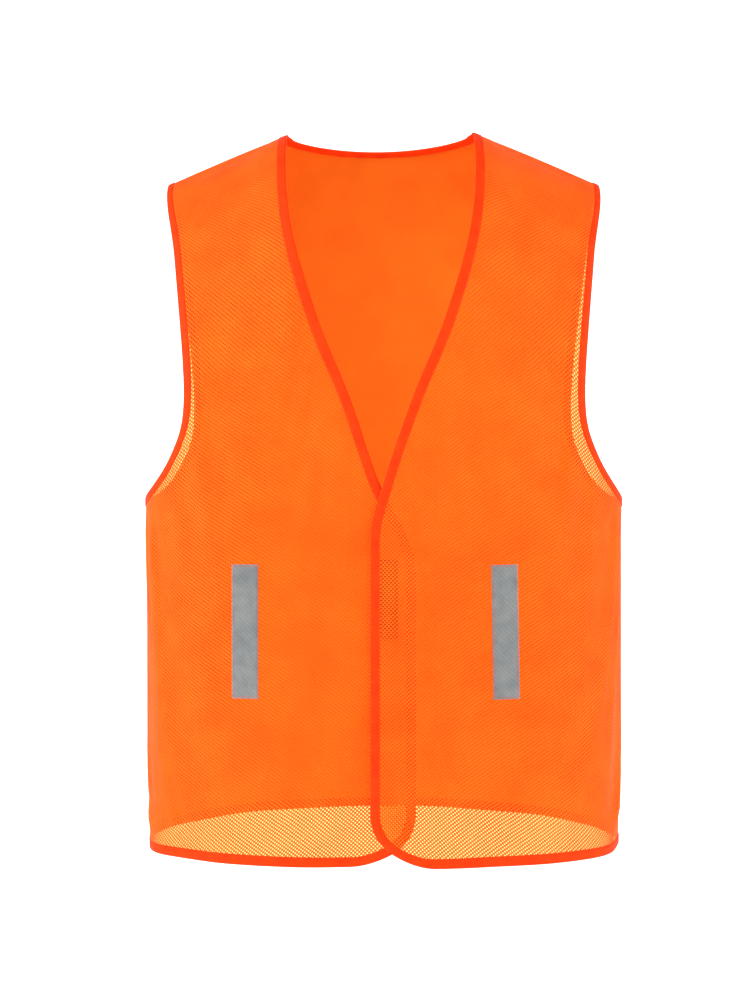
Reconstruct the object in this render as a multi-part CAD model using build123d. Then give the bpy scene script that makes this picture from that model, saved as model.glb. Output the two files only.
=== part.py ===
from build123d import *
import os
from math import atan2, copysign, cos, degrees, pi, sin

# A blaze orange mesh vest, closed as it is worn, standing open and round as on a body.
# X runs from the wearer's right to the wearer's left, Y from front to back and Z up.
# The origin lies between the two neck points, where the collar rests on the wearer.
# Every side is +1 for the wearer's left and -1 for the wearer's right. Millimetres.

# The body form that the cloth follows
half_width = 237.0  # middle to side seam, 474 mm across
half_depth = 135.0  # middle to the flat of the front, 270 mm deep
plan_roundness = 2.5  # exponent of the rounded plan, 2 is an ellipse
neck_half = 95.0  # half the width between the neck points, which lie at Z = 0
shoulder_drop = 0.47  # slope of the shoulder line far out
shoulder_round = 80.0  # how softly the shoulder line bends at the neck
roll_height = 220.0  # the cloth rolls over the shoulder within this height
yoke_bottom = -300.0  # below this the form is straight down
hem_z = -704.0
reach = 222.0  # the shoulders are modelled out to here

# Cloth, tape and thread. Layers are given as depths below the outside of the form.
cloth = 1.0
binding_width = 9.0
binding_skin = 0.6  # a folded binding stands this far proud of each face of the cloth
tape = 0.4
thread = 0.2
patch = 1.0
under_depth = 3.6  # the right front lies this far under the left one
seam_half = 2.0  # half the width of the shoulder and side seams
fold_gap = 0.5  # from the fold line to the cloth on each side of it

# Edges in front view, as (half width from the closure line, height)
closure_x = -3.5
v_edge = [(91.5, 0), (85.5, -98), (60, -192), (28.5, -270), (3, -345)]
left_edge = (-13.8, -402)  # where the left front's edge turns straight down
right_edge = (28.0, -430)
corner_wide, corner_high = 60.0, 48.0  # rounded lower corners of the fronts
corner_middle = (0.26, 0.33)  # where the corner's middle lies, as shares of its width and height
armhole = [(214, -52), (199, -135), (187.5, -262), (200, -318), (240, -366)]
back_neck_drop = 4.0
back_hem_rise = 10.0

# The fronts fold open along these lines, from the neckline to the hem
fold_top, fold_bottom = (75.0, -150.0), (214.0, hem_z)
fold_forward = 16.0  # the hinge line clears the cloth's ends by this much

# Fittings
strip_size = (25.0, 125.0)
strip_places = {1: (112.0, 1.0), -1: (-130.0, 0.0)}  # middle X and lean in degrees
strip_z = -486.5
patch_size = (16.0, 75.0)
patch_x, patch_z = 3.7, -456.0
stitch_margin, stitch_width = 1.5, 0.5

far = 400.0  # outside everything
beyond = 260.0  # outlines run out to here where the cloth wraps round the side
above = 60.0  # and up to here where it goes over the shoulder
armpit_fall = 16.0  # how much the armhole's line drops from the side to that end
neck_zone_half, neck_zone_low = 130.0, -170.0  # holds the neckline above the folds' tops
hem_zone_half = 30.0  # the hem bindings lie this near the hem
arm_zone_inner, arm_zone_low = 150.0, -460.0  # holds the armholes and nothing of the hem
shoulder_zone_low = -100.0  # the shoulder seams lie above this, the side seams below
rib_steps = 8  # stations on each half of the roll, and of the shoulders
plan_points = 48


def across(x):
    """How much of the full depth the form has at this X."""
    return (1 - (abs(x) / half_width) ** plan_roundness) ** (1 / plan_roundness)


def ridge(x):
    """Height of the shoulder line at this X."""
    at_neck = (neck_half**2 + shoulder_round**2) ** 0.5
    return -shoulder_drop * ((x * x + shoulder_round**2) ** 0.5 - at_neck)


def front_y(x, z):
    """Y of the outside of the form's front."""
    fallen = min(ridge(x) - z, roll_height) / roll_height
    return -half_depth * across(x) * (1 - (1 - fallen) ** 2) ** 0.5


def rib(x, depth):
    """A section of the form across the shoulder, as a closed wire at this X."""
    half = half_depth * across(x) - depth
    roll = roll_height - depth
    top = ridge(x) - depth
    turns = [pi / 2 * k / rib_steps for k in range(-rib_steps, rib_steps + 1)]
    points = [(x, half * sin(a), top - roll * (1 - cos(a))) for a in turns]
    over = Spline(*points, tangents=[(0, 0, 1), (0, 0, -1)])
    front, back = points[0], points[-1]
    foot = Polyline(back, (x, half, yoke_bottom), (x, -half, yoke_bottom), front)
    return Wire([over, *foot.edges()])


def yoke(depth, margin=0.0):
    """The form from the shoulders down to the yoke's bottom, this deep under the outside."""
    steps = range(-rib_steps, rib_steps + 1)
    stations = [(reach + margin) * k / rib_steps for k in steps]
    return Solid.make_loft([rib(x, depth) for x in stations], ruled=True)


def skirt(depth):
    """The straight lower form down to the hem."""
    a, b = half_width - depth, half_depth - depth
    power = 2 / plan_roundness
    points = []
    for k in range(plan_points):
        turn = 2 * pi * k / plan_points
        c, s = cos(turn), sin(turn)
        x, y = a * copysign(abs(c) ** power, c), b * copysign(abs(s) ** power, s)
        points.append((x, y, hem_z))
    plan = Face(Wire([Spline(*points, periodic=True)]))
    return extrude(plan, amount=yoke_bottom - hem_z, dir=(0, 0, 1))


def skirt_layer(outer, inner):
    return skirt(outer) - skirt(inner)


def layer(outer, inner):
    """A skin of the whole form between two depths."""
    return (yoke(outer) - yoke(inner, margin=1.0)) + skirt_layer(outer, inner)


def prism(face, low, high):
    """A face drawn at Y = 0, stretched from low to high along Y."""
    return extrude(face.moved(Location((0, low, 0))), amount=high - low, dir=(0, 1, 0))


def flat(*points):
    """A polygon in front view, from its (X, Z) corners."""
    return Face(Wire(Polyline(*[(x, 0, z) for x, z in points], close=True).edges()))


def zone(left, right, low, high):
    """All of the object within a rectangle in front view."""
    return prism(flat((left, low), (right, low), (right, high), (left, high)), -far, far)


def rectangle(x, z, size, lean=0.0):
    w, h = size[0] / 2, size[1] / 2
    face = flat((-w, -h), (w, -h), (w, h), (-w, h))
    return face.rotate(Axis.Y, lean).moved(Location((x, 0, z)))


def inset_points(points, first, last, amount):
    """Points of a curve in front view, moved to the left of its run by this much."""
    directions = [first]
    for before, after in zip(points, points[2:]):
        directions.append((after[0] - before[0], after[1] - before[1]))
    directions.append(last)
    moved = []
    for (x, z), (dx, dz) in zip(points, directions):
        length = (dx * dx + dz * dz) ** 0.5
        moved.append((x - dz / length * amount, z + dx / length * amount))
    return moved


def curve(points, first, last):
    """A spline in front view through (X, Z) points with these end directions."""
    ends = [(x, 0, z) for x, z in (first, last)]
    return Spline(*[(x, 0, z) for x, z in points], tangents=ends)


def line(*ends):
    return Line(*[(x, 0, z) for x, z in ends])


def armhole_edges(side, inset, downwards):
    """The armhole from over the shoulder tip to beyond the side seam."""
    first, last = (0, -1), (side * 1.0, -0.8)
    points = [(side * x, z) for x, z in armhole]
    points = inset_points(points, first, last, -side * inset)
    armpit_end = (side * beyond, points[-1][1] - armpit_fall)
    edges = [
        line((points[0][0], above), points[0]),
        curve(points, first, last),
        line(points[-1], armpit_end),
    ]
    return (edges if downwards else edges[::-1]), points[0][0], armpit_end


def front_outline(side, inset=0.0):
    """One whole front in front view: neckline, front edge, corner, hem and armhole.
    The inset draws the same outline that far inside the edge, all round."""
    down, out = (0, -1), (side, 0)
    end_x, end_z = left_edge if side > 0 else right_edge
    neckline = [(closure_x + side * h, z) for h, z in v_edge] + [(end_x, end_z)]
    neckline = inset_points(neckline, down, down, side * inset)
    corner = [
        (end_x, hem_z + corner_high),
        (end_x + side * corner_wide * corner_middle[0], hem_z + corner_high * corner_middle[1]),
        (end_x + side * corner_wide, hem_z),
    ]
    corner = inset_points(corner, down, out, side * inset)
    arm_edges, tip_x, armpit_end = armhole_edges(side, inset, downwards=False)
    hem_end = (side * beyond, corner[-1][1])
    edges = [
        line((neckline[0][0], above), neckline[0]),
        curve(neckline, down, down),
        line(neckline[-1], corner[0]),
        curve(corner, down, out),
        line(corner[-1], hem_end),
        line(hem_end, armpit_end),
        *arm_edges,
        line((tip_x, above), (neckline[0][0], above)),
    ]
    return Face(Wire(edges))


def back_outline(inset=0.0):
    """The back in front view: neck, both armholes and the arched hem."""
    edges = []
    ends = {}
    for side in (-1, 1):
        arm_edges, tip_x, armpit_end = armhole_edges(side, inset, downwards=True)
        neck_x = closure_x + side * (v_edge[0][0] + inset)
        corner = (neck_x, ridge(neck_x) - inset / 2)
        hem_end = (side * beyond, hem_z + inset)
        edges += [
            line(corner, (neck_x, above)),
            line((neck_x, above), (tip_x, above)),
            *arm_edges,
            line(armpit_end, hem_end),
        ]
        ends[side] = corner, hem_end
    dip = (closure_x, 0, -back_neck_drop - inset)
    rise = (0, 0, hem_z + back_hem_rise + inset)
    for which, middle in enumerate((dip, rise)):
        left_end, right_end = [(ends[side][which][0], 0, ends[side][which][1]) for side in (-1, 1)]
        edges.append(ThreePointArc(left_end, middle, right_end))
    return Face(Wire(edges))


def fold_line(side):
    """The top and bottom of a front's fold line in front view."""
    return [(closure_x + side * h, z) for h, z in (fold_top, fold_bottom)]


def fold_side(side, moving):
    """All that lies on the opening front's side of its fold, or on the garment's."""
    (top_x, top_z), (low_x, low_z) = fold_line(side)
    slope = (low_x - top_x) / (low_z - top_z)
    away = -side if moving else side
    upper_x = top_x + slope * (far - top_z) + away * fold_gap
    lower_x = low_x + slope * (-2 * far - low_z) + away * fold_gap
    edge = [(upper_x, far), (lower_x, -2 * far)]
    return flat(*edge, (away * 2 * far, -2 * far), (away * 2 * far, far))


def hinge_axis(side):
    """A point on a front's hinge line, halfway down, and the line's direction."""
    ends = [(x, front_y(x, z) - fold_forward, z) for x, z in fold_line(side)]
    middle = [(a + b) / 2 for a, b in zip(*ends)]
    run = [a - b for a, b in zip(*ends)]
    length = sum(v * v for v in run) ** 0.5
    return middle, [v / length for v in run]


def stitched_frame(x, z, size, lean=0.0):
    """A thin closed line of thread just inside a rectangle's edge."""
    outer, inner = [
        rectangle(x, z, (size[0] - 2 * margin, size[1] - 2 * margin), lean)
        for margin in (stitch_margin, stitch_margin + stitch_width)
    ]
    return outer - inner


def one(shape):
    """The largest solid of a shape, as a part of its own."""
    return max(shape.solids(), key=lambda solid: solid.volume)


def build():
    nodes = {}
    over = layer(binding_skin, binding_skin + cloth)
    over_edge = layer(0, 2 * binding_skin + cloth)
    under = layer(under_depth + binding_skin, under_depth + binding_skin + cloth)
    under_edge = layer(under_depth, under_depth + 2 * binding_skin + cloth)
    neck_zone = zone(-neck_zone_half, neck_zone_half, neck_zone_low, far)
    low_zone = zone(-far, far, hem_z - hem_zone_half, hem_z + hem_zone_half)
    shoulder_zone = zone(-far, far, shoulder_zone_low, far)

    back_inner = back_outline(binding_width)
    back_band = prism(back_outline() - back_inner, 0, far)
    nodes["back_panel"] = one(over & prism(back_inner, seam_half, far))
    nodes["back_neck_binding"] = one(over_edge & back_band & neck_zone)
    nodes["back_hem_binding"] = one(over_edge & back_band & low_zone)

    for side, name in ((1, "left"), (-1, "right")):
        inner = front_outline(side, binding_width)
        band = prism(front_outline(side) - inner, -far, 0)
        cloth_front = prism(inner, -far, -seam_half)
        opening = prism(fold_side(side, moving=True), -far, 0)
        staying = prism(fold_side(side, moving=False), -far, 0)
        flap, flap_edge = (over, over_edge) if side > 0 else (under, under_edge)

        nodes[f"{name}_front_panel"] = one(flap & cloth_front & opening)
        nodes[f"{name}_front_binding"] = one(flap_edge & band & opening)
        nodes[f"{name}_front_side_panel"] = one(over & cloth_front & staying)
        fixed_edge = over_edge & band & staying
        nodes[f"{name}_neck_binding"] = one(fixed_edge & neck_zone)
        nodes[f"{name}_side_hem_binding"] = one(fixed_edge & low_zone)

        arm_zone = zone(*sorted((side * arm_zone_inner, side * beyond)), arm_zone_low, above)
        arm_edges = [(over_edge & part & arm_zone) for part in (band, back_band)]
        nodes[f"{name}_armhole_binding"] = one(one(arm_edges[0]) + one(arm_edges[1]))

        seams = (over_edge & prism(inner, -seam_half, seam_half)) - back_band
        nodes[f"{name}_shoulder_seam"] = one(seams & shoulder_zone)
        nodes[f"{name}_side_seam"] = one(seams - shoulder_zone)

        strip_x, lean = strip_places[side]
        strip = (strip_x, strip_z, strip_size, lean)
        top = binding_skin if side > 0 else under_depth + binding_skin
        sewn = {
            "reflective_strip": (rectangle(*strip), top - tape, top),
            "strip_stitching": (stitched_frame(*strip), top - tape - thread, top - tape),
        }
        spot = (patch_x, patch_z, patch_size)
        inside = top + cloth
        if side > 0:
            sewn["front_hook_patch"] = (rectangle(*spot), inside, inside + patch)
            sewn["hook_patch_stitching"] = (stitched_frame(*spot), top - thread, top)
        else:
            sewn["front_loop_patch"] = (rectangle(*spot), top - patch, top)
            sewn["loop_patch_stitching"] = (stitched_frame(*spot), inside, inside + thread)
        for piece, (face, outer, inner_depth) in sewn.items():
            nodes[f"{name}_{piece}"] = one(skirt_layer(outer, inner_depth) & prism(face, -far, 0))
    return nodes


os.makedirs("parts", exist_ok=True)
for node_name, solid in build().items():
    export_step(solid, f"parts/{node_name}.step")
for side in (1, -1):
    middle, direction = hinge_axis(side)
    tilt = degrees(atan2(abs(direction[0]), direction[2]))
    print("hinge", side, [round(v, 2) for v in middle], [round(v, 5) for v in direction], round(tilt, 1))
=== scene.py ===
from math import cos, pi, radians, sin

import bmesh
import bpy
import numpy as np
from mathutils import Matrix, Vector
from mathutils.bvhtree import BVHTree


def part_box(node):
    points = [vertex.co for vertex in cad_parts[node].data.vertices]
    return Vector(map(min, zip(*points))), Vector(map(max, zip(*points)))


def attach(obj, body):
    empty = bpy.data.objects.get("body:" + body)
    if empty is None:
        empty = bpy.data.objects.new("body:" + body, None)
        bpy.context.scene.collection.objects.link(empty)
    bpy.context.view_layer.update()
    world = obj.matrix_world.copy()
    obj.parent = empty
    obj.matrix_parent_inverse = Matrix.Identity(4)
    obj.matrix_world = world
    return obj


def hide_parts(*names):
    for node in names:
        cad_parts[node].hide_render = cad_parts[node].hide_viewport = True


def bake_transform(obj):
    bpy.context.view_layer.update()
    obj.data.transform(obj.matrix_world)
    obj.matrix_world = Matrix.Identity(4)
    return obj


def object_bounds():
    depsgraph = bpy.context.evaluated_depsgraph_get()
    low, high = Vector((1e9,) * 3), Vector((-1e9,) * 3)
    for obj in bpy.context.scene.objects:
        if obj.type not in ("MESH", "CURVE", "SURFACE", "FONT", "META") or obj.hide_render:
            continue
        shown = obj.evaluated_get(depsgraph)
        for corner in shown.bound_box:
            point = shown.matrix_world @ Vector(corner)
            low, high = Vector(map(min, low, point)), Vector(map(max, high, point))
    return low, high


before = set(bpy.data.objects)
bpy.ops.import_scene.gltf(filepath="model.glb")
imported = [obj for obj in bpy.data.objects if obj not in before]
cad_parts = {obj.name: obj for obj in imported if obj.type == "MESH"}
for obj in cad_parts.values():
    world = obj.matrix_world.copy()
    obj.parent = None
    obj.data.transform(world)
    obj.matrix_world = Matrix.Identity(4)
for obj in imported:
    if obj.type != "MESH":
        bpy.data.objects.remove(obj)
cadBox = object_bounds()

# a blaze orange mesh vest, standing open and round as on a body, closed at the front
# side is 1 for the wearer's left, -1 for the right; face is -1 for the front, 1 for the back

form = {
    "halfWidth": cadBox[1].x, "halfDepth": cadBox[1].y, "hem": cadBox[0].z,
    "roundness": 2.5, "neckHalf": 0.095, "drop": 0.47, "soft": 0.080,
    "roll": 0.220, "rollRun": 0.2867,  # height of the roll over the shoulder, and the cloth in it
    # soft folds that grow from one height to another: their share, number round the body and phase
    "ripple": 0.0042, "waves": [(0.55, 9, 0.9), (0.3, 14, 2.1), (0.25, 5, 0)],
    "waveInset": 0.2, "waveAcross": 0.2, "waveHeights": (0.22, 0.66),
    # how much the hem draws in, its share of that to the sides, and between which heights
    "taper": 0.018, "taperAcross": 0.7, "taperHeights": (0.60, 0.70),
    "probe": 0.0012,  # step along the cloth for finding which way it faces
}
cut = {
    "closure": -0.0035,
    "neckline": [(0.0915, 0), (0.0855, -0.098), (0.060, -0.192), (0.0285, -0.270), (0.003, -0.345)],
    "leftEdge": (-0.0138, -0.402), "rightEdge": (0.028, -0.430),
    "cornerWide": 0.060, "cornerHigh": 0.048, "cornerMiddle": (0.26, 0.33),
    "armhole": [(0.2145, -0.052), (0.2015, -0.135), (0.190, -0.262), (0.202, -0.318), (0.237, -0.3625)],
    "neckDrop": 0.004, "neckGap": 0.002, "backRise": 0.010,
    "underDepth": 0.0036, "clothDepth": 0.0011,
    # the back's armholes are cut this much less deep, by shares from the shoulder down
    "backArm": 0.009, "backArmShares": (0, 0.8, 1, 0.6, 0),
}
# the line on the fronts beyond which the right front steps under the left one, and the step's reach to
# its outside and inside
foldPlane = {"top": (0.075, -0.150), "bottom": (0.214, -0.700), "outside": 0.020, "inside": 0.045}


# the form that the cloth follows

turns = np.linspace(0, pi / 2, 600)
planX = form["halfWidth"] * np.sin(turns) ** (2 / form["roundness"])
planY = form["halfDepth"] * np.cos(turns) ** (2 / form["roundness"])
planRun = np.concatenate([[0], np.cumsum(np.hypot(np.diff(planX), np.diff(planY)))])


def ridge(x):
    level = np.hypot(form["neckHalf"], form["soft"])
    return -form["drop"] * (np.hypot(x, form["soft"]) - level)


def toPattern(points):
    # from front view to the flat cloth: distance round the body, distance down from the shoulder
    points = np.asarray(points, float)
    x, z = points[..., 0], points[..., 1]
    around = np.sign(x) * np.interp(np.abs(x), planX, planRun)
    fallen = ridge(x) - z
    rolled = np.clip(1 - fallen / form["roll"], -1, 1)
    down = np.where(
        fallen < form["roll"],
        form["rollRun"] * np.arccos(rolled) / (pi / 2),
        form["rollRun"] + fallen - form["roll"],
    )
    return np.stack([around, down], -1)


def easeIn(value, start, end):
    t = np.clip((value - start) / (end - start), 0, 1)
    return t * t * (3 - 2 * t)


def onForm(flat, face):
    around, down = flat[..., 0], flat[..., 1]
    x = np.sign(around) * np.interp(np.abs(around), planRun, planX)
    depth = np.interp(np.abs(around), planRun, planY)
    turn = np.minimum(down / form["rollRun"], 1) * pi / 2
    z = ridge(x) - form["roll"] * (1 - np.cos(turn)) - np.maximum(down - form["rollRun"], 0)
    y = face * depth * np.sin(turn)
    # soft folds that grow towards the hem, and a hem that draws in a little
    angle = np.arctan2(y / form["halfDepth"], x / form["halfWidth"])
    low = easeIn(-z, *form["waveHeights"])
    wave = sum(share * np.sin(number * angle + phase) for share, number, phase in form["waves"])
    swell = form["ripple"] * low * (wave - form["waveInset"]) / form["halfDepth"]
    drawn = form["taper"] * easeIn(-z, *form["taperHeights"])
    wide = 1 + swell * form["waveAcross"] - drawn * form["taperAcross"]
    return np.stack([x * wide, y * (1 + swell) * (1 - drawn), z], -1)


def clothAt(flat, face, depth=0.0, lift=0.0):
    # the place of flat cloth points, a depth under the outside, and lifted outwards
    step = form["probe"]
    limit = planRun[-1]
    right, left, low, high = [flat.copy() for _ in range(4)]
    right[..., 0] = np.minimum(flat[..., 0] + step, limit)
    left[..., 0] = np.maximum(flat[..., 0] - step, -limit)
    low[..., 1] += step
    high[..., 1] -= step
    across = onForm(right, face) - onForm(left, face)
    along = onForm(low, face) - onForm(high, face)
    normal = np.cross(across, along) * face
    normal /= np.linalg.norm(normal, axis=-1, keepdims=True) + 1e-12
    lifted = np.asarray(lift - depth)
    if lifted.ndim:
        lifted = lifted[..., None]
    return onForm(flat, face) + normal * lifted


# edge lines in front view


def curveThrough(points, first, last, perSpan=14):
    # a smooth curve through a few points, with given directions at its ends
    p = np.array(points, float)
    d = np.empty_like(p)
    d[1:-1] = (p[2:] - p[:-2]) / 2
    d[0] = np.array(first) / np.linalg.norm(first) * np.linalg.norm(p[1] - p[0])
    d[-1] = np.array(last) / np.linalg.norm(last) * np.linalg.norm(p[-1] - p[-2])
    made = []
    for a, b, da, db in zip(p, p[1:], d, d[1:]):
        for t in np.linspace(0, 1, perSpan, endpoint=False):
            h = (2 * t**3 - 3 * t**2 + 1, t**3 - 2 * t**2 + t, -2 * t**3 + 3 * t**2, t**3 - t**2)
            made.append(h[0] * a + h[1] * da + h[2] * b + h[3] * db)
    made.append(p[-1])
    return np.array(made)


def straight(a, b, count=24):
    return np.linspace(a, b, count)


def join(*runs):
    return np.concatenate([runs[0], *[run[1:] for run in runs[1:]]])


def spaced(points, count):
    # the same line with points at even distances
    steps = np.linalg.norm(np.diff(points, axis=0), axis=1)
    run = np.concatenate([[0], np.cumsum(steps)])
    marks = np.linspace(0, run[-1], count)
    return np.stack([np.interp(marks, run, points[:, k]) for k in range(2)], -1)


def frontEdge(side):
    # neckline, front edge and rounded corner, from the neck point to the hem
    end = cut["leftEdge"] if side > 0 else cut["rightEdge"]
    hem, wide, high = form["hem"], cut["cornerWide"], cut["cornerHigh"]
    neck = [(cut["closure"] + side * x, z) for x, z in cut["neckline"]] + [end]
    neck[0] = (neck[0][0], float(ridge(neck[0][0])))
    corner = [
        (end[0], hem + high),
        (end[0] + side * wide * cut["cornerMiddle"][0], hem + high * cut["cornerMiddle"][1]),
        (end[0] + side * wide, hem),
    ]
    down = (0, -1)
    return join(
        curveThrough(neck, down, down),
        straight(end, corner[0]),
        curveThrough(corner, down, (side, 0)),
    )


def armholeEdge(side, shallower=0.0):
    # from the shoulder to the side seam, or a shallower one as the back has
    shares = zip(cut["armhole"], cut["backArmShares"])
    points = [(side * (x + shallower * share), z) for (x, z), share in shares]
    points[-1] = (side * form["halfWidth"], points[-1][1])
    top = (points[0][0], float(ridge(points[0][0])))
    return join(straight(top, points[0], 4), curveThrough(points, (0, -1), (side, -0.8)))


def sideEdge(side, shallower=0.0):
    points = armholeEdge(side, shallower)
    return join(points, straight(points[-1], (side * form["halfWidth"], form["hem"])))


def frontHem(side):
    # from the rounded corner to the side seam, closer where it turns round the side
    first = frontEdge(side)[-1][0]
    turn = np.linspace(0, pi / 2, 240)
    x = first + (side * form["halfWidth"] - first) * np.sin(turn)
    return np.stack([x, np.full(len(x), form["hem"])], -1)


def neckArc():
    # the back neckline from the right neck point to the left one
    ends = [cut["closure"] + side * cut["neckline"][0][0] for side in (-1, 1)]
    x = np.linspace(ends[0], ends[1], 41)
    t = (x - ends[0]) / (ends[1] - ends[0])
    level = ridge(ends[0]) * (1 - t) + ridge(ends[1]) * t
    return np.stack([x, level - cut["neckDrop"] * 4 * t * (1 - t)], -1)


def backHem():
    x = form["halfWidth"] * np.sin(np.linspace(-pi / 2, pi / 2, 481))
    rise = cut["backRise"] * (1 - (x / form["halfWidth"]) ** 2)
    return np.stack([x, form["hem"] + rise], -1)


# small makers


def toLinear(hexColour):
    # sRGB hex to the linear values that shaders use
    parts = [int(hexColour[k : k + 2], 16) / 255 for k in (1, 3, 5)]
    linear = [c / 12.92 if c <= 0.04045 else ((c + 0.055) / 1.055) ** 2.4 for c in parts]
    return (*linear, 1.0)


def addNode(tree, kind, settings=None, inputs=None, links=None):
    node = tree.nodes.new(kind)
    for name, value in (settings or {}).items():
        setattr(node, name, value)
    for name, value in (inputs or {}).items():
        node.inputs[name].default_value = value
    for name, source in (links or {}).items():
        tree.links.new(source, node.inputs[name])
    return node


def newMaterial(name):
    material = bpy.data.materials.new(name)
    material.use_nodes = True
    material.node_tree.nodes.clear()
    return material, material.node_tree


def gridPiece(name, places, flats=None, aroundClosed=False, longClosed=False):
    # a grid bent to the given places, with the cloth's own flat measures as its UV map
    rows, columns = places.shape[:2]
    bm = bmesh.new()
    bmesh.ops.create_grid(bm, x_segments=columns - 1, y_segments=rows - 1, size=1)
    layer = bm.loops.layers.uv.new("cloth")
    spot = {}
    for vert in bm.verts:
        i = round((vert.co.x + 1) / 2 * (columns - 1))
        j = round((vert.co.y + 1) / 2 * (rows - 1))
        spot[vert] = (j, i)
    for faceHere in bm.faces:
        for loop in faceHere.loops:
            loop[layer].uv = flats[spot[loop.vert]] if flats is not None else (0, 0)
    for vert, (j, i) in spot.items():
        vert.co = places[j, i]
    if aroundClosed or longClosed:
        bmesh.ops.remove_doubles(bm, verts=bm.verts, dist=1e-6)
        if aroundClosed and not longClosed:
            ends = [edge for edge in bm.edges if edge.is_boundary]
            bmesh.ops.holes_fill(bm, edges=ends, sides=0)
        bmesh.ops.recalc_face_normals(bm, faces=bm.faces)
    return meshObject(name, bm)


def meshObject(name, bm):
    mesh = bpy.data.meshes.new(name)
    bm.to_mesh(mesh)
    bm.free()
    mesh.polygons.foreach_set("use_smooth", [True] * len(mesh.polygons))
    piece = bpy.data.objects.new(name, mesh)
    bpy.context.scene.collection.objects.link(piece)
    return piece


def thicken(piece, thickness):
    wall = piece.modifiers.new("Wall", "SOLIDIFY")
    wall.thickness = thickness
    wall.offset = 0


def foldMarks(side):
    # where the step under the other front starts and ends, across the line
    top, low = [
        Vector((cut["closure"] + side * x, 0, z)) for x, z in (foldPlane["top"], foldPlane["bottom"])
    ]
    run = (low - top).normalized()
    across = Vector((run.z, 0, -run.x)) * side
    return top - across * foldPlane["outside"], top + across * foldPlane["inside"]


def bendAtFold(piece):
    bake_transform(piece)


def underShare(x, z, side):
    # 0 on the garment's side of the fold and 1 on the opening front
    start, end = foldMarks(side)
    run = end - start
    t = ((x - start.x) * run.x + (z - start.z) * run.z) / run.length_squared
    return easeIn(t, 0, 1)


sideName = {1: "left", -1: "right"}


def plainDepth(flat):
    return np.full(flat.shape[:-1], cut["clothDepth"])


def layerDepth(flat, side):
    # the right front slips under the left one, beyond its fold
    if side > 0:
        return plainDepth(flat)
    place = onForm(flat, -1)
    return cut["clothDepth"] + cut["underDepth"] * underShare(place[..., 0], place[..., 2], side)


def patch(leftLine, rightLine, topLine, bottomLine):
    # flat cloth spread between four edge lines
    v = np.linspace(0, 1, len(leftLine))[:, None, None]
    u = np.linspace(0, 1, len(topLine))[None, :, None]
    left, right = leftLine[:, None], rightLine[:, None]
    top, bottom = topLine[None], bottomLine[None]
    corners = (
        (1 - u) * (1 - v) * topLine[0] + u * (1 - v) * topLine[-1]
        + (1 - u) * v * bottomLine[0] + u * v * bottomLine[-1]
    )
    return (1 - u) * left + u * right + (1 - v) * top + v * bottom - corners


# finishes


def knittedMesh(name, look):
    material, tree = newMaterial(name)
    flat = addNode(tree, "ShaderNodeUVMap", {"uv_map": "cloth"})
    turned = addNode(
        tree, "ShaderNodeMapping",
        inputs={"Scale": (1 / look["pitch"], 1 / look["pitch"], 1), "Rotation": (0, 0, pi / 4)},
        links={"Vector": flat.outputs["UV"]},
    )
    cells = addNode(
        tree, "ShaderNodeTexVoronoi", {"voronoi_dimensions": "2D"},
        {"Scale": 1.0, "Randomness": 0.0}, {"Vector": turned.outputs["Vector"]},
    )
    yarn = addNode(
        tree, "ShaderNodeMapRange", {"interpolation_type": "SMOOTHSTEP"},
        {"From Min": look["hole"] - look["edge"], "From Max": look["hole"] + look["edge"]},
        {"Value": cells.outputs["Distance"]},
    )
    where = addNode(tree, "ShaderNodeTexCoord")
    mottle = addNode(
        tree, "ShaderNodeTexNoise", None,
        {"Scale": 1 / look["mottle"], "Detail": 3.0, "Roughness": 0.55},
        {"Vector": where.outputs["Object"]},
    )
    spread = addNode(
        tree, "ShaderNodeMapRange", None, {"From Min": 0.35, "From Max": 0.65},
        {"Value": mottle.outputs["Fac"]},
    )
    colour = addNode(
        tree, "ShaderNodeMix", {"data_type": "RGBA"},
        {"A": toLinear(look["shade"]), "B": toLinear(look["yarn"])}, None,
    )
    tree.links.new(spread.outputs["Result"], colour.inputs["Factor"])
    fibres = addNode(
        tree, "ShaderNodeTexNoise", None, {"Scale": 900.0, "Detail": 2.0},
        {"Vector": where.outputs["Object"]},
    )
    rough = addNode(
        tree, "ShaderNodeMapRange", None, {"To Min": 0.62, "To Max": 0.82},
        {"Value": fibres.outputs["Fac"]},
    )
    relief = addNode(
        tree, "ShaderNodeBump", None, {"Strength": 0.35, "Distance": 0.0004},
        {"Height": yarn.outputs["Result"]},
    )
    cloth = addNode(
        tree, "ShaderNodeBsdfPrincipled", None,
        {"IOR": 1.46, "Sheen Weight": 0.03, "Sheen Roughness": 0.5, "Specular IOR Level": 0.12},
        {
            "Base Color": colour.outputs["Result"], "Roughness": rough.outputs["Result"],
            "Normal": relief.outputs["Normal"],
        },
    )
    gap = addNode(tree, "ShaderNodeBsdfTransparent", None, {"Color": toLinear(look["glow"])})
    mixed = addNode(tree, "ShaderNodeMixShader", None, None, {0: yarn.outputs["Result"]})
    tree.links.new(gap.outputs[0], mixed.inputs[1])
    tree.links.new(cloth.outputs[0], mixed.inputs[2])
    addNode(tree, "ShaderNodeOutputMaterial", links={"Surface": mixed.outputs[0]})
    return material


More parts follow.
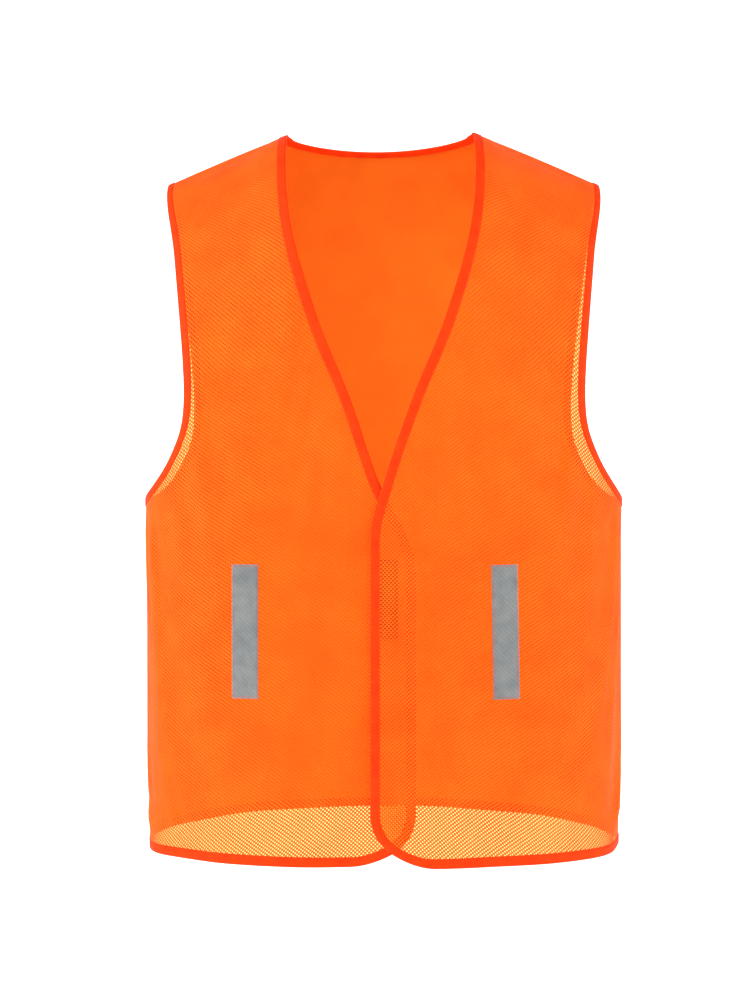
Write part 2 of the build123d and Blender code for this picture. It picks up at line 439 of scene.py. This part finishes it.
def wovenMaterial(name, look):
    # close-woven or stitched goods: fine ribs across, soft colour changes, matt; the colour is darker
    # in the ribs' hollows, painted shade that follows their relief
    material, tree = newMaterial(name)
    flat = addNode(tree, "ShaderNodeUVMap", {"uv_map": "cloth"})
    ribs = addNode(
        tree, "ShaderNodeTexWave", {"wave_type": "BANDS", "bands_direction": look["bands"]},
        {"Scale": look["ribScale"], "Distortion": 0.8, "Detail": 1.0},
        {"Vector": flat.outputs["UV"]},
    )
    where = addNode(tree, "ShaderNodeTexCoord")
    wear = addNode(
        tree, "ShaderNodeTexNoise", None, {"Scale": 90.0, "Detail": 4.0},
        {"Vector": where.outputs["Object"]},
    )
    tone = addNode(
        tree, "ShaderNodeMapRange", None, {"From Min": 0.3, "From Max": 0.7},
        {"Value": wear.outputs["Fac"]},
    )
    base = addNode(
        tree, "ShaderNodeMix", {"data_type": "RGBA"},
        {"A": toLinear(look["dark"]), "B": toLinear(look["light"])}, None,
    )
    tree.links.new(tone.outputs["Result"], base.inputs["Factor"])
    # painted shade: the colour is scaled down towards the ribs' hollows, where the bump is lowest
    ribHollowShading = addNode(
        tree, "ShaderNodeMapRange", None, {"To Min": look["ribHollowShade"], "To Max": 1.0},
        {"Value": ribs.outputs["Fac"]},
    )
    colour = addNode(tree, "ShaderNodeVectorMath", {"operation": "SCALE"})
    tree.links.new(base.outputs["Result"], colour.inputs[0])
    tree.links.new(ribHollowShading.outputs["Result"], colour.inputs["Scale"])
    rough = addNode(
        tree, "ShaderNodeMapRange", None,
        {"To Min": look["rough"] - 0.08, "To Max": look["rough"] + 0.08},
        {"Value": wear.outputs["Fac"]},
    )
    relief = addNode(
        tree, "ShaderNodeBump", None, {"Strength": 0.5, "Distance": 0.0002},
        {"Height": ribs.outputs["Fac"]},
    )
    shader = addNode(
        tree, "ShaderNodeBsdfPrincipled", None,
        {"IOR": 1.5, "Metallic": look["metal"], "Specular IOR Level": look["gloss"],
         "Sheen Weight": look["sheen"]},
        {"Base Color": colour.outputs[0], "Roughness": rough.outputs["Result"],
         "Normal": relief.outputs["Normal"]},
    )
    addNode(tree, "ShaderNodeOutputMaterial", links={"Surface": shader.outputs[0]})
    return material


def ribScaleFor(spacing):
    # a wave texture at scale 1 repeats every pi / 10 of a unit
    return pi / 10 / spacing


# warp-knitted polyester mesh, dyed fluorescent: open diamonds between soft matt yarns, so one
# layer lets the light behind it through, warmed by the yarn
openKnit = knittedMesh("open knitted polyester mesh", {
    "yarn": "#FF620E", "shade": "#FA5809", "glow": "#FFEDBC",
    "pitch": 0.0026,  # the real mesh repeats every 1.8 mm, drawn coarser so that it shows
    "hole": 0.33, "edge": 0.09, "mottle": 0.035,
})
# the same yarn knitted closer for the back, whose small eyelets let little light through; its colours
# are a darker, browner orange than the fronts' yarn, painted shade for the dim inside of the vest,
# which also darkens the back's outside
closeKnit = knittedMesh("close knitted polyester mesh", {
    "yarn": "#E26405", "shade": "#DB5D04", "glow": "#FFC880",
    "pitch": 0.0022, "hole": 0.13, "edge": 0.07, "mottle": 0.045,
})
# folded polyester binding, plain woven: close ribs across the tape, denser and redder than the mesh
bindingFinish = wovenMaterial("folded woven polyester binding", {
    "dark": "#E03000", "light": "#F23A00", "bands": "X", "ribScale": ribScaleFor(0.0014),
    "ribHollowShade": 0.86, "rough": 0.66, "metal": 0.0, "gloss": 0.08, "sheen": 0.0,
})
# spun polyester thread: twisted plies, slightly glossier than the tape
threadFinish = wovenMaterial("spun polyester thread", {
    "dark": "#EC4204", "light": "#FA5208", "bands": "DIAGONAL", "ribScale": ribScaleFor(0.0008),
    "ribHollowShade": 0.75, "rough": 0.58, "metal": 0.0, "gloss": 0.15, "sheen": 0.0,
})
# glass beads bonded to woven tape: flat silver grey that brightens softly, with a fine grain
reflectiveFinish = wovenMaterial("glass bead reflective tape", {
    "dark": "#676B6C", "light": "#797C7B", "bands": "DIAGONAL", "ribScale": ribScaleFor(0.0022),
    "ribHollowShade": 0.93, "rough": 0.5, "metal": 0.2, "gloss": 0.4, "sheen": 0.0,
})
# woven nylon tape with its hooks and loops: dense nap, deep orange
hookFinish = wovenMaterial("woven nylon hook and loop tape", {
    "dark": "#BC2400", "light": "#D43000", "bands": "Y", "ribScale": ribScaleFor(0.0016),
    "ribHollowShade": 0.6, "rough": 0.8, "metal": 0.0, "gloss": 0.1, "sheen": 0.08,
})


def dress(piece, material):
    piece.data.materials.clear()
    piece.data.materials.append(material)


# the cloth panels

panel = {
    "rows": 130, "columns": 84, "thickness": 0.0005,
    "frontFlat": (0.32, 0.74), "backFlat": (0.62, 0.76),  # cloth that each is cut from
}
drape = {
    "frames": 22, "growth": 0.010, "cap": 0.0045, "stretch": 12, "shear": 4, "bend": 0.35,
    "mass": 0.05, "quality": 6, "held": 0.009, "free": (0.006, 0.045),
    "lap": {1: (0.025, 0.080), -1: (0.020, 0.070)},  # the fronts stay flat where they overlap
}


def settle(piece, held, reach):
    # lets the cloth hang between its sewn edges, then keeps a capped share of how far it moved
    rest = np.array([v.co for v in piece.data.vertices])
    group = piece.vertex_groups.new(name="sewn")
    for index, weight in enumerate(held):
        group.add([index], float(weight), "REPLACE")
    cloth = piece.modifiers.new("Cloth", "CLOTH")
    cloth.settings.quality = drape["quality"]
    cloth.settings.mass = drape["mass"]
    cloth.settings.tension_stiffness = drape["stretch"]
    cloth.settings.compression_stiffness = drape["stretch"]
    cloth.settings.shear_stiffness = drape["shear"]
    cloth.settings.bending_stiffness = drape["bend"]
    cloth.settings.vertex_group_mass = group.name
    cloth.settings.shrink_min = -drape["growth"]
    cloth.collision_settings.use_collision = False
    scene = bpy.context.scene
    cloth.point_cache.frame_end = drape["frames"]
    for number in range(1, drape["frames"] + 1):
        scene.frame_set(number)
    evaluated = piece.evaluated_get(bpy.context.evaluated_depsgraph_get())
    moved = np.array([v.co for v in evaluated.data.vertices])
    piece.modifiers.remove(cloth)
    piece.vertex_groups.remove(group)
    scene.frame_set(1)
    shift = moved - rest
    size = np.linalg.norm(shift, axis=1, keepdims=True) + 1e-9
    cap = drape["cap"]
    shift *= cap * np.tanh(size / cap) / size * reach[:, None]
    print(piece.name, "settled by up to", round(float(np.linalg.norm(shift, axis=1).max()), 4))
    piece.data.vertices.foreach_set("co", (rest + shift).ravel())
    piece.data.update()


def panelReach(flat, edges):
    # how freely each point may move: not at all where it is sewn, fully some way from there
    points = flat.reshape(-1, 2)
    near = np.full(len(points), np.inf)
    for edge in edges:
        for mark in edge:
            near = np.minimum(near, np.linalg.norm(points - mark, axis=1))
    return near < drape["held"], easeIn(near, *drape["free"])


def sheetArea(places):
    a, b = np.diff(places, axis=1)[:-1], np.diff(places, axis=0)[:, :-1]
    return float(np.linalg.norm(np.cross(a, b), axis=2).sum())


def makeFront(side):
    rows, columns = panel["rows"], panel["columns"]
    inner = spaced(toPattern(frontEdge(side)), rows)
    outer = spaced(toPattern(sideEdge(side)), rows)
    top = straight(inner[0], outer[0], columns)
    bottom = spaced(toPattern(frontHem(side)), columns)
    flat = patch(inner, outer, top, bottom)
    depth = layerDepth(flat, side)
    places = clothAt(flat, -1, depth)
    order = slice(None) if side > 0 else slice(None, None, -1)  # so that faces point outwards
    piece = gridPiece(f"{sideName[side]}FrontCloth", places[::-1, order], flat[::-1, order])
    held, reach = panelReach(flat[::-1, order], [inner, outer, top, bottom])
    fromMiddle = side * flat[::-1, order][..., 0].ravel()
    settle(piece, held, reach * easeIn(fromMiddle, *drape["lap"][side]))
    return piece, sheetArea(places)


def makeBack():
    rows, columns = panel["rows"], panel["columns"]
    neck = toPattern(neckArc())
    halves = []
    hem = toPattern(backHem())
    for side in (-1, 1):
        outer = spaced(toPattern(sideEdge(side, cut["backArm"])), rows)
        neckHalf = neck[neck[:, 0] * side >= cut["closure"] * side]
        neckHalf = neckHalf if side > 0 else neckHalf[::-1]
        middleTop = toPattern([(0.0, float(neckArc()[len(neck) // 2, 1]))])[0]
        neckHalf = neckHalf[neckHalf[:, 0] * side > cut["neckGap"]]
        shoulder = np.array([neckHalf[-1], outer[0]])
        top = spaced(join(np.array([middleTop, neckHalf[0]]), neckHalf, shoulder), columns)
        hemHalf = hem[hem[:, 0] * side >= -1e-9]
        hemHalf = spaced(hemHalf if side > 0 else hemHalf[::-1], columns)
        middle = straight(top[0], hemHalf[0], rows)
        outer[-1] = hemHalf[-1]
        halves.append(patch(middle, outer, top, hemHalf))
    flat = np.concatenate([halves[0][:, ::-1], halves[1][:, 1:]], axis=1)
    places = clothAt(flat, 1, plainDepth(flat))
    piece = gridPiece("backCloth", places, flat)
    lines = [flat[0], flat[-1], flat[:, 0], flat[:, -1]]
    held, reach = panelReach(flat, lines)
    settle(piece, held, reach)
    return piece, sheetArea(places)


print("cutting and draping the cloth")
panels = {}
for side in (1, -1):
    name = sideName[side]
    piece, area = makeFront(side)
    panels[side] = piece
    thicken(piece, panel["thickness"])
    dress(piece, openKnit)
    bendAtFold(piece)
    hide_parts(f"{name}_front_panel", f"{name}_front_side_panel")
    print(name, "front cloth", round(area, 4), "square metres")
backPiece, area = makeBack()
thicken(backPiece, panel["thickness"])
dress(backPiece, closeKnit)
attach(backPiece, "garment")
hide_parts("back_panel")
print("back cloth", round(area, 4), "square metres")


# the bindings

binding = {
    "width": 0.009, "half": 0.0010, "step": 0.006, "overShoulder": 0.005,
    "stitchAt": 0.86,  # the stitches' share of the width inwards, and of the half thickness
    # the folded tape's section: share of the width inwards, share of its half thickness
    "section": [
        (1.0, 0.30), (0.95, 0.72), (0.62, 0.92), (0.25, 1.0), (0.06, 0.72), (0.0, 0.0),
        (0.06, -0.72), (0.25, -1.0), (0.62, -0.92), (0.95, -0.72), (1.0, -0.30), (1.0, 0.30),
    ],
}


def tapeStations(line, inward):
    # even stations along an edge in the flat cloth, with the direction into the cloth
    count = max(int(np.linalg.norm(np.diff(line, axis=0), axis=1).sum() / binding["step"]), 6)
    line = spaced(line, count)
    run = np.gradient(line, axis=0)
    run /= np.linalg.norm(run, axis=1, keepdims=True)
    into = np.stack([-run[:, 1], run[:, 0]], -1) * inward
    return line, into


def tapePlaces(line, into, face, depthOf):
    rows = []
    for share, height in binding["section"]:
        flat = line + into * (binding["width"] * share)
        flat[:, 0] = np.clip(flat[:, 0], -planRun[-1], planRun[-1])
        rows.append(clothAt(flat, face, depthOf(flat), height * binding["half"]))
    return np.array(rows)


def tapeFlats(line):
    steps = np.concatenate([[0], np.cumsum(np.linalg.norm(np.diff(line, axis=0), axis=1))])
    shares = np.array([share for share, _ in binding["section"]])
    out = np.zeros((len(shares), len(line), 2))
    out[..., 0] = steps[None]
    out[..., 1] = shares[:, None] * binding["width"]
    return out


stitch = {
    "long": {"length": 0.0022, "radius": 0.00028, "pitch": 0.0032},  # along the bindings
    "short": {"length": 0.0021, "radius": 0.00026, "pitch": 0.0030},  # round strips and patches
}


def makeStitches(name, centres, runs, normals, kind):
    # a row of short raised stitches, each a few faces
    length, radius = stitch[kind]["length"], stitch[kind]["radius"]
    bm = bmesh.new()
    bm.loops.layers.uv.new("cloth")
    for centre, run, normal in zip(centres, runs, normals):
        run, normal = Vector(run).normalized(), Vector(normal).normalized()
        across = run.cross(normal).normalized()
        normal = across.cross(run)
        turn = Matrix((run, across, normal)).transposed().to_4x4()
        size = Matrix.Diagonal((length / 2, radius, radius, 1))
        place = Matrix.Translation(Vector(centre)) @ turn @ size
        bmesh.ops.create_uvsphere(bm, u_segments=6, v_segments=4, radius=1, matrix=place)
    return meshObject(name, bm)


def stitchesAlong(name, flat, face, depthOf, lift):
    # stitches at even distances along a flat line, on the given face of the cloth
    steps = np.linalg.norm(np.diff(clothAt(flat, face), axis=0), axis=1)
    flat = spaced(flat, max(int(steps.sum() / stitch["long"]["pitch"]), 2))
    depth = depthOf(flat)
    places = clothAt(flat, face, depth, lift)
    normals = places - clothAt(flat, face, depth, lift - 0.001)
    return makeStitches(name, places, np.gradient(places, axis=0), normals, "long")


def joined(name, parts):
    # one piece from several, keeping their vertices
    bm = bmesh.new()
    for part in parts:
        bm.from_mesh(part.data)
        mesh = part.data
        bpy.data.objects.remove(part)
        bpy.data.meshes.remove(mesh)
    return meshObject(name, bm)


def bindingStitches(name, line, into, face, depthOf):
    row = line + into * (binding["width"] * binding["stitchAt"])
    row[:, 0] = np.clip(row[:, 0], -planRun[-1], planRun[-1])
    lift = binding["half"] * binding["stitchAt"]
    outside = stitchesAlong(name + "Out", row, face, depthOf, lift)
    inside = stitchesAlong(name + "In", row, face, depthOf, -lift)
    return joined(name, [outside, inside])


print("folding the bindings")
for side in (1, -1):
    name = sideName[side]
    line = join(toPattern(frontEdge(side)), toPattern(frontHem(side)))
    # the tape laps a little over the shoulder, over the end of the back's neck tape
    line = join(np.array([line[0] - (0, binding["overShoulder"]), line[0]]), line)
    line, into = tapeStations(line, -side)

    def depthOf(flat, side=side):
        return layerDepth(flat, side)

    tape = gridPiece(
        f"{name}FrontBinding", tapePlaces(line, into, -1, depthOf), tapeFlats(line), aroundClosed=True
    )
    dress(tape, bindingFinish)
    bendAtFold(tape)
    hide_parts(f"{name}_front_binding", f"{name}_neck_binding", f"{name}_side_hem_binding")
    thread = bindingStitches(f"{name}FrontBindingStitches", line, into, -1, depthOf)
    dress(thread, threadFinish)
    bendAtFold(thread)

    # the armhole's tape runs down the front, under the arm and up the back
    line, into = tapeStations(toPattern(armholeEdge(side)), side)
    backLine, backInto = tapeStations(toPattern(armholeEdge(side, cut["backArm"])), side)
    front = tapePlaces(line, into, -1, plainDepth)
    back = tapePlaces(backLine, backInto, 1, plainDepth)[:, ::-1]
    front[:, -1] = back[:, 0] = (front[:, -1] + back[:, 0]) / 2
    front[:, 0] = back[:, -1] = (front[:, 0] + back[:, -1]) / 2
    places = np.concatenate([front, back[:, 1:]], axis=1)
    flats = tapeFlats(np.concatenate([line, line[-1] + (line[-1] - backLine[::-1][1:])]))
    tape = gridPiece(f"{name}ArmholeBinding", places, flats, aroundClosed=True, longClosed=True)
    dress(tape, bindingFinish)
    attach(tape, "garment")
    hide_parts(f"{name}_armhole_binding")
    rows = [
        bindingStitches(f"{name}Arm{face}", *edge, face, plainDepth)
        for face, edge in ((-1, (line, into)), (1, (backLine, backInto)))
    ]
    thread = joined(f"{name}ArmholeStitches", rows)
    dress(thread, threadFinish)
    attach(thread, "garment")

for name, node, line, inward in (
    ("backNeckBinding", "back_neck_binding", toPattern(neckArc()), 1),
    ("backHemBinding", "back_hem_binding", toPattern(backHem()), -1),
):
    line, into = tapeStations(line, inward)
    places = tapePlaces(line, into, 1, plainDepth)
    tape = gridPiece(name, places, tapeFlats(line), aroundClosed=True)
    dress(tape, bindingFinish)
    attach(tape, "garment")
    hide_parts(node)
    thread = bindingStitches(name + "Stitches", line, into, 1, plainDepth)
    dress(thread, threadFinish)
    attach(thread, "garment")


# the shoulder and side seams

seam = {
    "half": 0.0022, "height": 0.0009, "under": 1.3, "step": 0.004, "points": 13,
    "fromEdge": 0.006, "fromHem": 0.007,  # the seams' ends are caught in the bindings
}


def seamPiece(name, places, flats):
    piece = gridPiece(name, places, flats, aroundClosed=True)
    dress(piece, threadFinish)
    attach(piece, "garment")
    return piece


def seamSection(across, up):
    # a low rounded ridge with the cloth's allowance inside
    return [
        (across * cos(a), up * sin(a) * (1.0 if sin(a) > 0 else seam["under"]))
        for a in np.linspace(0, 2 * pi, seam["points"])
    ]


print("closing the seams")
for side in (1, -1):
    name = sideName[side]
    neck, tip = toPattern(frontEdge(side))[0], toPattern(armholeEdge(side))[0]
    count = int(abs(tip[0] - neck[0]) / seam["step"])
    inset = side * seam["fromEdge"]
    around = np.linspace(neck[0] + inset, tip[0] - inset, count)
    rows = []
    for across, up in seamSection(seam["half"], seam["height"]):
        flat = np.stack([around, np.full(count, across)], -1)
        rows.append(clothAt(flat, -1, plainDepth(flat), up))
    flats = np.zeros((seam["points"], count, 2))
    flats[..., 0] = around[None]
    piece = seamPiece(f"{name}ShoulderSeam", np.array(rows), flats)
    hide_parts(f"{name}_shoulder_seam")

    top = toPattern(armholeEdge(side))[-1][1] + seam["fromHem"]
    low = toPattern(sideEdge(side))[-1][1] - seam["fromHem"]
    count = int((low - top) / seam["step"])
    down = np.linspace(top, low, count)
    edge = planRun[-1]
    rows = []
    for across, up in seamSection(seam["half"], seam["height"]):
        face = -1 if across <= 0 else 1
        flat = np.stack([np.full(count, side * (edge - abs(across))), down], -1)
        rows.append(clothAt(flat, face, plainDepth(flat), up))
    flats = np.zeros((seam["points"], count, 2))
    flats[..., 0] = down[None]
    piece = seamPiece(f"{name}SideSeam", np.array(rows), flats)
    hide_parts(f"{name}_side_seam")


# what is sewn on the fronts

strips = {
    "size": (0.025, 0.125), "lean": {1: 1.0, -1: 0.0}, "thickness": 0.0004, "cells": (10, 50),
    "lift": 0.00055, "stitchLift": 0.00085, "stitchMargin": 0.0016,
}
patches = {
    "thickness": 0.0009, "cells": (8, 36), "lift": 0.0010, "stitchLift": 0.0004,
    "stitchMargin": 0.0017,
}
edgeRound = 0.3  # the rounding of a tape's edges, as a share of its thickness


def clothFinder(piece):
    bm = bmesh.new()
    bm.from_mesh(piece.data)
    tree = BVHTree.FromBMesh(bm)
    bm.free()
    return tree


def onCloth(tree, x, z, lift):
    # the cloth's own surface straight behind a point in front view, lifted outwards
    ahead = Vector((x, -3 * form["halfDepth"], z))
    hit, normal, _, _ = tree.ray_cast(ahead, Vector((0, 1, 0)))
    if normal.y > 0:
        normal = -normal
    return np.array(hit + normal * lift), np.array(normal)


def sewnRectangle(name, tree, centre, size, lean, lift, tape):
    # a flat piece of tape laid on the cloth
    turn = Matrix.Rotation(radians(lean), 2)
    columns, rows = tape["cells"]
    places = np.zeros((rows + 1, columns + 1, 3))
    flats = np.zeros((rows + 1, columns + 1, 2))
    for j in range(rows + 1):
        for i in range(columns + 1):
            offset = turn @ Vector(((i / columns - 0.5) * size[0], (j / rows - 0.5) * size[1]))
            places[j, i], _ = onCloth(tree, centre[0] + offset.x, centre[1] + offset.y, lift)
            flats[j, i] = (i / columns * size[0], j / rows * size[1])
    piece = gridPiece(name, places, flats)
    thicken(piece, tape["thickness"])
    edge = piece.modifiers.new("Edge", "BEVEL")
    edge.width = tape["thickness"] * edgeRound
    edge.segments = 2
    edge.limit_method = "ANGLE"
    return piece


def frameStitches(name, tree, centre, size, lean, lift, margin):
    # lockstitches round a rectangle, inside its edge
    turn = Matrix.Rotation(radians(lean), 2)
    w, h = size[0] / 2 - margin, size[1] / 2 - margin
    corners = [(-w, -h), (w, -h), (w, h), (-w, h), (-w, -h)]
    centres, directions, normals = [], [], []
    for a, b in zip(corners, corners[1:]):
        length = ((b[0] - a[0]) ** 2 + (b[1] - a[1]) ** 2) ** 0.5
        count = max(int(length / stitch["short"]["pitch"]), 1)
        for k in range(count):
            t = (k + 0.5) / count
            here = turn @ Vector((a[0] + (b[0] - a[0]) * t, a[1] + (b[1] - a[1]) * t))
            place, normal = onCloth(tree, centre[0] + here.x, centre[1] + here.y, lift)
            way = turn @ Vector((b[0] - a[0], b[1] - a[1]))
            centres.append(place)
            directions.append((way.x, 0, way.y))
            normals.append(normal)
    return makeStitches(name, centres, directions, normals, "short")


def boxMiddle(node):
    low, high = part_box(node)
    return ((low[0] + high[0]) / 2, (low[2] + high[2]) / 2), (high[0] - low[0], high[2] - low[2])


print("sewing on the strips and patches")
for side, kind in ((1, "hook"), (-1, "loop")):
    name = sideName[side]
    body = f"{name}_front"
    tree = clothFinder(panels[side])
    centre, _ = boxMiddle(f"{name}_reflective_strip")
    size, lean = strips["size"], strips["lean"][side]
    strip = sewnRectangle(f"{name}ReflectiveStrip", tree, centre, size, lean, strips["lift"], strips)
    dress(strip, reflectiveFinish)
    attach(strip, body)
    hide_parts(f"{name}_reflective_strip")
    thread = frameStitches(
        f"{name}StripStitches", tree, centre, size, lean, strips["stitchLift"], strips["stitchMargin"]
    )
    dress(thread, threadFinish)
    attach(thread, body)
    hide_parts(f"{name}_strip_stitching")

    # the hooks are inside the left front and the loops outside the right one
    centre, size = boxMiddle(f"{name}_front_{kind}_patch")
    lift = -side * patches["lift"]
    patchPiece = sewnRectangle(f"{name}{kind.title()}Patch", tree, centre, size, 0, lift, patches)
    dress(patchPiece, hookFinish)
    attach(patchPiece, body)
    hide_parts(f"{name}_front_{kind}_patch")
    threadName, lift = f"{name}{kind.title()}PatchStitches", side * patches["stitchLift"]
    thread = frameStitches(threadName, tree, centre, size, 0, lift, patches["stitchMargin"])
    dress(thread, threadFinish)
    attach(thread, body)
    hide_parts(f"{name}_{kind}_patch_stitching")


# floor, light and camera

studio = {
    "floor": form["hem"] - 0.30, "start": -4.0, "wall": 3.4, "halfWide": 4.5, "bend": 1.0,
    "wallHigh": 3.0, "floorShare": 0.3, "bendShare": 0.7, "paper": "#F7F7F7", "glow": 0.72,
    "key": 58.0, "keyPlace": (-1.3, -1.8, 1.7), "keySize": (1.4, 1.4),
    "fill": 7.0, "fillPlace": (1.7, -2.2, 0.3), "fillSize": (1.8, 1.8),
    "side": 22.0, "sidePlace": (1.5, -0.5, 0), "sideSize": (1, 1.2), "sky": 0.34,
    "lens": 60, "sensor": 36, "camera": (-0.017, -1.667, -0.364),
}


def makeBackdrop():
    # a seamless paper sweep: floor, bend and wall
    first, last, bend, wall = [studio[key] for key in ("floorShare", "bendShare", "bend", "wall")]
    bm = bmesh.new()
    bmesh.ops.create_grid(bm, x_segments=2, y_segments=60, size=1)
    for vert in bm.verts:
        t = (vert.co.y + 1) / 2
        x = vert.co.x * studio["halfWide"]
        if t < first:
            y, z = studio["start"] + t / first * (wall - bend - studio["start"]), 0.0
        elif t < last:
            a = (t - first) / (last - first) * pi / 2
            y, z = wall - bend + bend * sin(a), bend * (1 - cos(a))
        else:
            y, z = wall, bend + (t - last) / (1 - last) * studio["wallHigh"]
        vert.co = (x, y, studio["floor"] + z)
    piece = meshObject("backdrop", bm)
    material, tree = newMaterial("matt backdrop paper")
    paper = addNode(
        tree, "ShaderNodeBsdfPrincipled", None,
        {"Base Color": toLinear(studio["paper"]), "Roughness": 0.9, "Specular IOR Level": 0.1,
         "Emission Color": (1, 1, 1, 1), "Emission Strength": studio["glow"]},
    )
    addNode(tree, "ShaderNodeOutputMaterial", links={"Surface": paper.outputs[0]})
    piece.data.materials.append(material)


def addLight(name, place, target, size, power):
    light = bpy.data.lights.new(name, "AREA")
    light.shape = "RECTANGLE"
    light.size, light.size_y = size
    light.energy = power
    lamp = bpy.data.objects.new(name, light)
    lamp.location = place
    lamp.rotation_euler = (Vector(target) - Vector(place)).to_track_quat("-Z", "Y").to_euler()
    bpy.context.scene.collection.objects.link(lamp)


print("setting the studio")
makeBackdrop()
middle = (0, 0, form["hem"] / 2)
addLight("keyLight", studio["keyPlace"], middle, studio["keySize"], studio["key"])
addLight("fillLight", studio["fillPlace"], middle, studio["fillSize"], studio["fill"])
for side in (1, -1):
    x, y, z = studio["sidePlace"]
    lampName = f"sideLight{sideName[side].title()}"
    addLight(lampName, (side * x, y, z), middle, studio["sideSize"], studio["side"])

world = bpy.data.worlds.new("studio")
world.use_nodes = True
world.node_tree.nodes["Background"].inputs["Color"].default_value = (1, 1, 1, 1)
world.node_tree.nodes["Background"].inputs["Strength"].default_value = studio["sky"]
scene = bpy.context.scene
scene.world = world
scene.view_settings.view_transform = "Standard"

lens = bpy.data.cameras.new("camera")
lens.lens = studio["lens"]
lens.sensor_width = studio["sensor"]
camera = bpy.data.objects.new("camera", lens)
camera.location = studio["camera"]
camera.rotation_euler = (radians(90), 0, 0)
scene.collection.objects.link(camera)
scene.camera = camera
